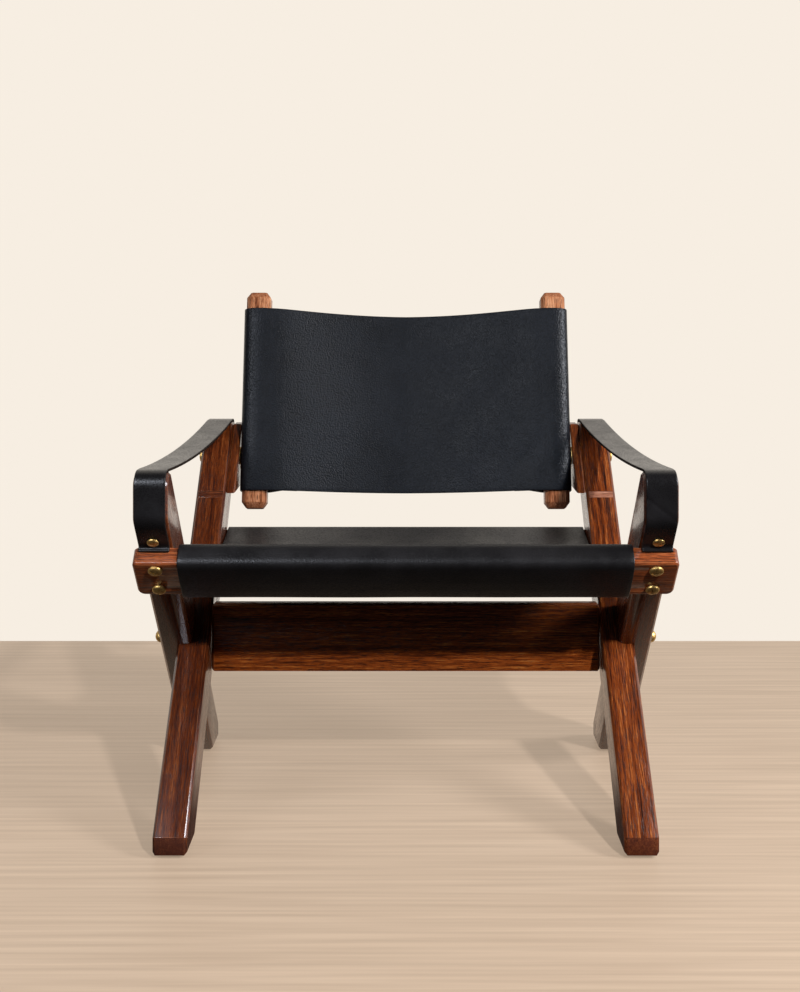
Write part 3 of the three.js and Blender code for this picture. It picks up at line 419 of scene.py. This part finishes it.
# ---- Seat leather ----
# One black saddle hide, 3.6 mm thick, wrapped round both rails and hanging between them.
# Its cut edges are burnished.
def saddle_hide(name, dark, light, pebble, gloss, rough, taut=None):
    """Leather by the flat hide, whose place in metres is the piece's UV map.

    Taut is the middle of its length, how far from there the hide is pulled tight, and what
    that adds to its roughness.
    """
    finish, tree, shader = new_finish(name)
    flat = add_node(tree, "ShaderNodeUVMap", uv_map="hide").outputs[0]
    wander = add_node(tree, "ShaderNodeTexNoise", {"Vector": flat, "Scale": 90.0, "Detail": 2.0})
    drift = add_node(
        tree, "ShaderNodeVectorMath", {0: wander.outputs["Color"], "Scale": 0.006},
        operation="SCALE",
    )
    bent = add_node(tree, "ShaderNodeVectorMath", {0: flat, 1: drift.outputs[0]}, operation="ADD")
    cells = add_node(
        tree, "ShaderNodeTexVoronoi",
        {"Vector": bent.outputs[0], "Scale": 430.0, "Smoothness": 0.6, "Randomness": 1.0},
        voronoi_dimensions="3D", feature="SMOOTH_F1",
    ).outputs["Distance"]
    fine = cloudy(tree, flat, 1500.0, 3.0)
    broad = cloudy(tree, flat, 5.0, 4.0)
    patch = cloudy(tree, flat, 22.0, 4.0, 0.6)
    tone = plus(tree, times(tree, broad, 0.6), times(tree, patch, 0.4))
    dyed = two_tones(tree, tone, 0.38, dark, 0.64, light)
    valley = span(tree, cells, 0.35, 0.75, 0.0, 1.0)
    dyed = mixed(tree, times(tree, valley, 0.5), dyed, paint(14, 14, 16))
    tree.links.new(dyed, shader.inputs["Base Color"])
    dull = span(tree, patch, 0.35, 0.65, rough, rough + 0.09)
    dull = plus(tree, dull, times(tree, valley, 0.12))
    if taut:
        middle, reach, added = taut
        run = add_node(tree, "ShaderNodeSeparateXYZ", {"Vector": flat}).outputs["X"]
        away = calc(tree, "ABSOLUTE", calc(tree, "SUBTRACT", run, middle))
        pulled = span(tree, away, reach - 0.03, reach, 0.0, 1.0)
        dull = plus(tree, dull, times(tree, pulled, added))
    tree.links.new(dull, shader.inputs["Roughness"])
    height = calc(tree, "SUBTRACT", times(tree, fine, 0.25), times(tree, cells, 0.9))
    raised(tree, shader, height, pebble, 0.0006)
    shader.inputs["Specular IOR Level"].default_value = gloss
    return finish


def dyed_fuzz(name, scale, detail, tones, relief, rough, gloss=None):
    """A speckled two-tone finish with a fine relief."""
    finish, tree, shader = new_finish(name)
    fuzz = cloudy(tree, object_place(tree), scale, detail)
    tree.links.new(two_tones(tree, fuzz, *tones), shader.inputs["Base Color"])
    raised(tree, shader, fuzz, relief, 0.0003)
    shader.inputs["Roughness"].default_value = rough
    if gloss is not None:
        shader.inputs["Specular IOR Level"].default_value = gloss
    return finish


def line_beside(points, distance):
    """The line to the left of a row of points, at that distance."""
    made = []
    for i, point in enumerate(points):
        into = (point - points[i - 1]).normalized() if i else None
        out = (points[i + 1] - point).normalized() if i + 1 < len(points) else into
        into = into or out
        middle = (into + out).normalized()
        reach = distance / max(middle.dot(into), 0.2)
        made.append(point + reach * Vector((-middle.y, middle.x)))
    return made


def bent_line(points, cuts, step):
    """The line with each corner bent over its cut, and its points no more than a step apart."""
    bends = []
    for i, point in enumerate(points):
        if not cuts[i]:
            bends.append(point)
            continue
        start = point + (points[i - 1] - point).normalized() * cuts[i]
        end = point + (points[i + 1] - point).normalized() * cuts[i]
        for k in range(9):
            t = k / 8
            bends.append((1 - t) ** 2 * start + 2 * t * (1 - t) * point + t * t * end)
    line = [bends[0]]
    for point in bends[1:]:
        gap = (point - line[-1]).length
        parts = max(1, math.ceil(gap / step))
        start = line[-1]
        line += [start.lerp(point, (k + 1) / parts) for k in range(parts)]
    return line


def modified(piece, kind, **settings):
    """Puts a modifier of that kind on the piece and applies it."""
    change = piece.modifiers.new(kind.lower(), kind)
    for name, value in settings.items():
        setattr(change, name, value)
    alone(piece)
    bpy.ops.object.modifier_apply(modifier=change.name)


def cut_hide(name, line, half_width, across, to_place, thickness, finishes):
    """A hide whose middle follows the line, with its flat length and area.

    It has across + 1 points from edge to edge, each put in place by to_place.
    """
    lengths = [0.0]
    for before, after in zip(line, line[1:]):
        lengths.append(lengths[-1] + (after - before).length)
    corners, faces, flat = [], [], []
    for point, run in zip(line, lengths):
        for k in range(across + 1):
            side = (2 * k / across - 1) * half_width(point)
            corners.append(to_place(point, side, run))
            flat.append((run, side))
    for i in range(len(line) - 1):
        for k in range(across):
            a = i * (across + 1) + k
            faces.append((a, a + 1, a + across + 2, a + across + 1))
    mesh = bpy.data.meshes.new(name)
    mesh.from_pydata(corners, [], faces)
    hide_map = mesh.uv_layers.new(name="hide")
    for loop in mesh.loops:
        hide_map.data[loop.index].uv = flat[loop.vertex_index]
    for finish in finishes:
        mesh.materials.append(finish)
    piece = bpy.data.objects.new(name, mesh)
    bpy.context.scene.collection.objects.link(piece)
    area = sum(face.area for face in mesh.polygons)
    modified(
        piece, "SOLIDIFY", thickness=thickness, offset=0, use_even_offset=True,
        material_offset_rim=1,
    )
    modified(
        piece, "BEVEL", width=thickness * 0.28, segments=2, limit_method="ANGLE",
        angle_limit=math.radians(60),
    )
    smoothed(piece, 50)
    return piece, lengths[-1], area


def mm(*pairs):
    return [Vector(pair) / 1000 for pair in pairs]


def sagging(start, end, sag, parts):
    """The points of a shallow curve that hangs between two ends, without the ends."""
    made = []
    for k in range(1, parts):
        share = k / parts
        made.append(start.lerp(end, share) - Vector((0, 4 * sag * share * (1 - share))))
    return made


def puffed(start, end, rise):
    """Three points between two corners, standing off the straight line between them."""
    off = (end - start).normalized()
    off = Vector((-off.y, off.x))
    return [
        start.lerp(end, share) + off * rise * 4 * share * (1 - share)
        for share in (0.25, 0.5, 0.75)
    ]


def clamped(share):
    return min(max(share, 0), 1)


GAP = 0.0003
HIDE = 0.0036
SEAT_SAG = 0.035
FACE_RISE, TOP_RISE = 0.0018, 0.0012
END_SHARE = 0.22
UNDER_BEND, TOP_BEND, FRONT_BEND = 0.0055, 0.0066, 0.0105
seat_hide = saddle_hide("seat_hide", (19, 19, 22), (33, 33, 37), 0.4, 0.27, 0.32)
burnished = dyed_fuzz(
    "burnished_edge", 700.0, 3.0, (0.35, (24, 20, 19), 0.7, (58, 46, 40)), 0.4, 0.8, 0.05,
)

# The corners of each rail from the side, as (y, z): two against the legs and two away from them.
CORNERS = ("leg_upper", "leg_lower", "far_upper", "far_lower")
front = dict(zip(CORNERS, mm((-239.7, 393.7), (-188.8, 342.8), (-258.8, 374.6), (-207.9, 323.7))))
rear = dict(zip(CORNERS, mm((146.4, 351.9), (95.5, 301.0), (165.5, 332.8), (114.6, 281.9))))
route = [
    front["leg_upper"].lerp(front["leg_lower"], END_SHARE),
    front["leg_lower"], front["far_lower"],
    *puffed(front["far_lower"], front["far_upper"], FACE_RISE), front["far_upper"],
    *puffed(front["far_upper"], front["leg_upper"], TOP_RISE)[2:], front["leg_upper"],
    *sagging(front["leg_upper"], rear["leg_upper"], SEAT_SAG, 28), rear["leg_upper"],
    *puffed(rear["leg_upper"], rear["far_upper"], TOP_RISE), rear["far_upper"],
    *puffed(rear["far_upper"], rear["far_lower"], FACE_RISE), rear["far_lower"],
    rear["leg_lower"], rear["leg_upper"].lerp(rear["leg_lower"], END_SHARE),
]
cuts = [0.0] * len(route)
for k in (1, 2, -2, -3):
    cuts[k] = UNDER_BEND
for k in (8, -7, -11):
    cuts[k] = TOP_BEND
cuts[6] = FRONT_BEND
line = bent_line(line_beside(route, HIDE / 2 + GAP), cuts, 0.006)


def seat_half_width(point):
    """Full width over the front rail, and 16 mm less on each side between the uprights."""
    return 0.294 - 0.016 * clamped((point.x + 0.0025) / 0.03)


def seat_place(point, side, run):
    """A point of the hide on its line; between the rails it waves a little."""
    free = clamped((point.x + 0.225) / 0.08) * clamped((0.125 - point.x) / 0.08)
    lift = free * 0.0022 * noise.noise(Vector((side * 7, run * 9, 3)))
    return (side, point.x, point.y + lift)


seat, length, area = cut_hide(
    "seat_sling", line, seat_half_width, 72, seat_place, HIDE, (seat_hide, burnished),
)
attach(seat, "frame")
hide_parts("seat_leather")

# ---- Arm straps ----
# Strips of the same leather, 40 mm wide and 4 mm thick, from the front rail over the nose of
# the arm leg to the rear of the upright, with a screw through each end.
STRAP = 0.004
STRAP_SAG = 0.010
ARM_X, UPRIGHT_X = 0.32555, 0.30175
NOSE_Y, STRAP_RUN = -0.2465, 0.4615
strap_hide = saddle_hide("strap_hide", (21, 21, 24), (33, 33, 37), 0.15, 0.24, 0.22)
nose_top, upright_top = mm((-246.5, 491.4), (215.0, 511.4))
route = [
    *mm((-246.8, 386.6), (-239.7, 393.7), (-276.0, 430.4), (-276.0, 491.4)), nose_top,
    *sagging(nose_top, upright_top, STRAP_SAG, 24), upright_top,
    *mm((248.0, 511.4), (248.0, 466.4)),
]
cuts = [0.0] * len(route)
cuts[1], cuts[2], cuts[3], cuts[-2] = 0.0065, 0.010, 0.0207, 0.010
line = bent_line(line_beside(route, STRAP / 2 + GAP), cuts, 0.0027)
for side, sign in (("right", 1), ("left", -1)):
    def strap_place(point, across, run):
        """The strap runs inwards to the rear; a crease slants over the nose of the right one."""
        middle = ARM_X + clamped((point.x - NOSE_Y) / STRAP_RUN) * (UPRIGHT_X - ARM_X)
        into = 0.0
        if sign > 0 and point.x < -0.26 and point.y > 0.425:
            off_line = (point.y - 0.4475) + 0.766 * (across + 0.001)
            into = 0.0009 * math.exp(-((off_line / 0.0024) ** 2))
        return (sign * (middle + across), point.x + into, point.y)

    strap, length, area = cut_hide(
        f"arm_strap_{side}_hide", line, lambda point: 0.020, 16, strap_place, STRAP,
        (strap_hide, burnished),
    )
    if sign < 0:
        alone(strap)
        bpy.ops.object.mode_set(mode="EDIT")
        bpy.ops.mesh.select_all(action="SELECT")
        bpy.ops.mesh.flip_normals()
        bpy.ops.object.mode_set(mode="OBJECT")
    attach(strap, "frame")
    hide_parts(f"arm_strap_{side}")

# ---- Back leather ----
# One hide bowed between the posts. Each end goes round its post from the front and is sewn to
# the back of the panel, so that it makes a pocket.
LEAN = math.radians(13.5)
PIVOT = Vector((0, 0.188795, 0.4614))
UP = Vector((0, math.sin(LEAN), math.cos(LEAN)))
REARWARD = Vector((0, UP.z, -UP.y))
HALF_POST, INNER, OUTER = 0.0195, 0.2201, 0.2591
OFF_POST = 0.0021
BOW, BOW_EASE = 0.0685, 0.05
HALF_HEIGHT, PANEL_MIDDLE = 0.147, 0.090
TOP_DIP = 0.003
FOLD_FROM, FOLD_TO = (0.150, -0.035), (0.263, 0.040)
FOLD_DEPTH, FOLD_WIDTH = 0.0032, 0.014
# Its tones lean blue: the leather's own blue-black with a painted cool sheen laid into it.
back_hide = saddle_hide(
    "back_hide", (16, 20, 27), (27, 32, 41), 1.0, 0.12, 0.42, taut=(0.4085, 0.27, -0.24),
)


def panel_y(x):
    """How far back the panel bows; near a post it bends round the chamfer before it turns."""
    from_post = max(INNER - abs(x), 0)
    bow = BOW * (1 - (x / INNER) ** 2) * from_post / (from_post + BOW_EASE)
    return -HALF_POST - OFF_POST + bow


def hem_point(x):
    """A hem lies against the back of the panel."""
    return Vector((x, panel_y(x) + HIDE + GAP))


# The way of the hide as (x, y), seen along the posts: hem, pocket, panel, pocket and hem.
pocket = line_beside([
    Vector((-INNER + 0.012, HALF_POST / 2)), Vector((-INNER, HALF_POST)),
    Vector((-OUTER, HALF_POST)), Vector((-OUTER, -HALF_POST)), Vector((-INNER, -HALF_POST)),
], -OFF_POST)[1:4]
end = [*(hem_point(-INNER + inside) for inside in (0.048, 0.036, 0.024)), *pocket]
end_cuts = [0, 0, 0.0036, 0.0065, 0.0104, 0.016]
panel = [Vector((x, panel_y(x))) for x in (-INNER + 2 * INNER * k / 40 for k in range(41))]
route = [*end, *panel, *(Vector((-p.x, p.y)) for p in reversed(end))]
cuts = [*end_cuts, *(0 for p in panel), *reversed(end_cuts)]
line = bent_line(route, cuts, 0.004)


def proud(point):
    """How far the pocket's front stands off the flat of a post."""
    share = (abs(point.x) - INNER + 0.006) / (OUTER - INNER + 0.006)
    return 0.0024 * math.sin(math.pi * clamped(share)) ** 2 if point.y < 0 else 0.0


def back_place(point, side, run):
    """The top edge dips between the posts, and a soft fold runs up to the right-hand pivot."""
    middle = max(1 - (point.x / INNER) ** 2, 0)
    high = PANEL_MIDDLE + side - TOP_DIP * middle * max(side / HALF_HEIGHT, 0)
    wave = 0.0016 * middle * noise.noise(Vector((point.x * 8, high * 8, 1)))
    along = Vector((FOLD_TO[0] - FOLD_FROM[0], FOLD_TO[1] - FOLD_FROM[1])).normalized()
    reach = Vector((point.x - FOLD_FROM[0], high - FOLD_FROM[1]))
    off = reach.x * along.y - reach.y * along.x
    begun = clamped(reach.dot(along) / 0.13 * 2.5)
    fold = FOLD_DEPTH * math.exp(-((off / FOLD_WIDTH) ** 2)) * begun * min(middle * 4, 1)
    y = point.y - proud(point) + wave + fold
    return PIVOT + Vector((point.x, 0, 0)) + REARWARD * y + UP * high


back, length, area = cut_hide(
    "back_sling", line, lambda point: HALF_HEIGHT, 42, back_place, HIDE, (back_hide, burnished),
)
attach(back, "back")
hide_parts("back_leather")

# Two rows of black waxed thread sew each hem to the back of the panel.
STITCH_ROWS = (-0.1905, -0.1785, 0.1785, 0.1905)
STITCHES, FIRST_STITCH, STITCH_PITCH = 42, -0.050, 0.0068
thread = dyed_fuzz(
    "waxed_thread", 1800.0, 2.0, (0.0, (10, 10, 12), 1.0, (28, 28, 31)), 0.5, 0.6, 0.1,
)
bpy.ops.object.select_all(action="DESELECT")
bpy.ops.mesh.primitive_uv_sphere_add(segments=8, ring_count=6, radius=0.00055)
stitch = bpy.context.object
alone(stitch)
bpy.ops.object.mode_set(mode="EDIT")
bpy.ops.transform.resize(value=(1, 0.7, 4.4))
bpy.ops.object.mode_set(mode="OBJECT")
bpy.ops.object.shade_smooth()
lean = Matrix((Vector((1, 0, 0)), REARWARD, UP)).transposed().to_4x4()
rows = []
for x in STITCH_ROWS:
    y = panel_y(x) + HIDE + GAP + 0.00195
    for k in range(STITCHES):
        place = PIVOT + Vector((x, 0, 0)) + REARWARD * y + UP * (FIRST_STITCH + STITCH_PITCH * k)
        copy = copy_of(stitch, "stitch")
        copy.data.transform(Matrix.Translation(place) @ lean)
        rows.append(copy)
bpy.data.objects.remove(stitch)
bpy.ops.object.select_all(action="DESELECT")
for copy in rows:
    copy.select_set(True)
bpy.context.view_layer.objects.active = rows[0]
bpy.ops.object.join()
stitches = bpy.context.object
stitches.name = "hem_stitches"
stitches.data.materials.append(thread)
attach(stitches, "back")


# ---- Brass screws, bolts and washers, and the barrel nuts ----
# Turned brass, dulled by handling: slotted domed screws hold the rails and straps, plain domed
# bolts hold the crossings and the back's pivots. The nuts are zinc-plated steel.
def handled_metal(name, bright, dull):
    """Metal stained by hands, with fine scratches."""
    finish, tree, shader = new_finish(name)
    place = object_place(tree)
    stain = cloudy(tree, place, 260.0, 4.0, 0.6)
    tree.links.new(two_tones(tree, stain, 0.38, dull, 0.62, bright), shader.inputs["Base Color"])
    tree.links.new(span(tree, stain, 0.35, 0.65, 0.56, 0.38), shader.inputs["Roughness"])
    raised(tree, shader, cloudy(tree, place, 2400.0, 2.0), 0.12, 0.0002)
    shader.inputs["Metallic"].default_value = 1.0
    return finish


def turned(name, profile, finish):
    """A lathe-turned piece about Z from (radius, height) pairs, first to last."""
    bpy.ops.object.select_all(action="DESELECT")
    radius, height = profile[0]
    bpy.ops.mesh.primitive_circle_add(
        vertices=40, radius=radius, location=(0, 0, height), fill_type="NGON",
    )
    piece = bpy.context.object
    piece.name = name
    alone(piece)
    bpy.ops.object.transform_apply(location=True)
    bpy.ops.object.mode_set(mode="EDIT")
    bpy.ops.mesh.select_all(action="SELECT")
    for next_radius, next_height in profile[1:]:
        widen = next_radius / radius
        bpy.ops.mesh.extrude_region_move(
            TRANSFORM_OT_translate={"value": (0, 0, next_height - height)},
        )
        bpy.ops.transform.resize(value=(widen, widen, 1), center_override=(0, 0, next_height))
        radius, height = next_radius, next_height
    bpy.ops.mesh.select_all(action="SELECT")
    bpy.ops.mesh.normals_make_consistent(inside=False)
    bpy.ops.object.mode_set(mode="OBJECT")
    piece.data.materials.append(finish)
    return piece


def slotted(piece, top, blade_size):
    """Saws a slot across the top of the piece; half of the blade's depth goes in."""
    bpy.ops.object.select_all(action="DESELECT")
    bpy.ops.mesh.primitive_cube_add(size=1, location=(0, 0, top))
    blade = bpy.context.object
    blade.scale = blade_size
    modified(piece, "BOOLEAN", operation="DIFFERENCE", solver="EXACT", object=blade)
    bpy.data.objects.remove(blade)


def domed_head(name, diameter, height, finish, slot_width=0.0):
    """A head with a low rim and a domed crown, its seat at the origin."""
    radius, rim = diameter / 2, height * 0.3
    profile = [(radius * 0.96, 0.0), (radius, radius * 0.05), (radius, rim)]
    for k in range(1, 9):
        turn = k / 8 * math.pi / 2 * 0.97
        profile.append((radius * math.cos(turn), rim + (height - rim) * math.sin(turn)))
    head = turned(name, profile, finish)
    if slot_width:
        slotted(head, height, (diameter * 1.2, slot_width, 0.0034))
    smoothed(head, 35)
    return head


def seated(piece, place, facing, roll=0.0):
    """Turns the piece from +Z to the way it faces, with its foot at the place, in its mesh."""
    turn = Vector((0, 0, 1)).rotation_difference(Vector(facing)).to_matrix().to_4x4()
    piece.data.transform(Matrix.Translation(Vector(place)) @ turn @ Matrix.Rotation(roll, 4, "Z"))
    piece.data.update()


SLOPE = math.sqrt(0.5)
DOWN_FRONT, DOWN_REAR, REAR, OUTWARD = (0, -SLOPE, -SLOPE), (0, SLOPE, -SLOPE), (0, 1, 0), (1, 0, 0)
WASHER_ROUND = 0.0003
brass = handled_metal("aged_brass", (222, 188, 118), (158, 122, 70))
rail_head = domed_head("rail_head", 0.0185, 0.0055, brass, 0.002)
strap_head = domed_head("strap_head", 0.0155, 0.0040, brass, 0.0018)
crossing_head = domed_head("crossing_head", 0.0185, 0.012, brass)
pivot_head = domed_head("pivot_head", 0.0185, 0.003, brass)
# Each head with its solid's name, its place on the right side, the way it faces and its turn.
heads = (
    (rail_head, "front_rail_screw_upper", (0.3235, -0.2491, 0.3645), DOWN_FRONT, 0.35),
    (rail_head, "front_rail_screw_lower", (0.3235, -0.2187, 0.3341), DOWN_FRONT, 1.9),
    (rail_head, "rear_rail_screw_upper", (UPRIGHT_X, 0.1558, 0.3227), DOWN_REAR, 0.6),
    (rail_head, "rear_rail_screw_lower", (UPRIGHT_X, 0.1254, 0.2922), DOWN_REAR, 2.3),
    (strap_head, "strap_screw_front", (ARM_X, -0.2537, 0.4016), DOWN_FRONT, 0.3),
    (strap_head, "strap_screw_rear", (UPRIGHT_X, 0.2526, 0.4884), REAR, 0.9),
    (crossing_head, "crossing_bolt", (0.3504, -0.02575, 0.2254), OUTWARD, 0.0),
    (pivot_head, "pivot_bolt", (0.3266, 0.1888, 0.4614), OUTWARD, 0.0),
)
for side, sign in (("right", 1), ("left", -1)):
    for head, fastener, (x, y, z), (out, back_or_front, up_or_down), roll in heads:
        node_name = f"{fastener}_{side}"
        screw = copy_of(head, node_name + "_head")
        facing = (sign * out, back_or_front, up_or_down)
        seated(screw, (sign * x, y, z), facing, roll * sign)
        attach(screw, "frame")
        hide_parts(node_name)
for head in (rail_head, strap_head, crossing_head, pivot_head):
    bpy.data.objects.remove(head)

for name in list(chair):
    if name.startswith(("crossing_washer", "pivot_washer", "spacer_washer", "block_screw")):
        eased(name, WASHER_ROUND, brass)

# The barrel nuts are pins let into the stretcher from behind, slotted to line them up with
# the bolts.
NUT_CHAMFER = 0.0008
zinc = handled_metal("zinc_plate", (196, 197, 194), (138, 139, 137))
for side in ("right", "left"):
    low, high = (Vector(corner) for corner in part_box(f"barrel_nut_{side}"))
    radius, length = (high.x - low.x) / 2 - 0.0001, high.y - low.y
    profile = [
        (radius - NUT_CHAMFER, 0.0), (radius, NUT_CHAMFER),
        (radius, length - NUT_CHAMFER), (radius - NUT_CHAMFER, length),
    ]
    nut = turned(f"barrel_nut_{side}_pin", profile, zinc)
    slotted(nut, length, (0.03, 0.002, 0.003))
    smoothed(nut, 35)
    seated(nut, ((low.x + high.x) / 2, low.y, (low.z + high.z) / 2), (0, 1, 0))
    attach(nut, "frame")
    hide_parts(f"barrel_nut_{side}")

# ---- Glides ----
# Turned discs of black nylon, 25 mm across and 4 mm thick with rounded rims, fixed under
# the middle of each foot.
DISC = ((0.0115, 0.0), (0.0125, 0.001), (0.0125, 0.0036), (0.0120, 0.0041))
nylon = dyed_fuzz("black_nylon", 900.0, 3.0, (0.0, (20, 20, 20), 1.0, (44, 43, 42)), 0.3, 0.6)
for side, sign in (("right", 1), ("left", -1)):
    for end_name, x, y in (("front", UPRIGHT_X, -0.23525), ("rear", ARM_X, 0.18375)):
        name = f"glide_{end_name}_{side}"
        disc = turned(name + "_disc", DISC, nylon)
        smoothed(disc, 40)
        seated(disc, (sign * x, y, 0), (0, 0, 1))
        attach(disc, "frame")
        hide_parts(name)
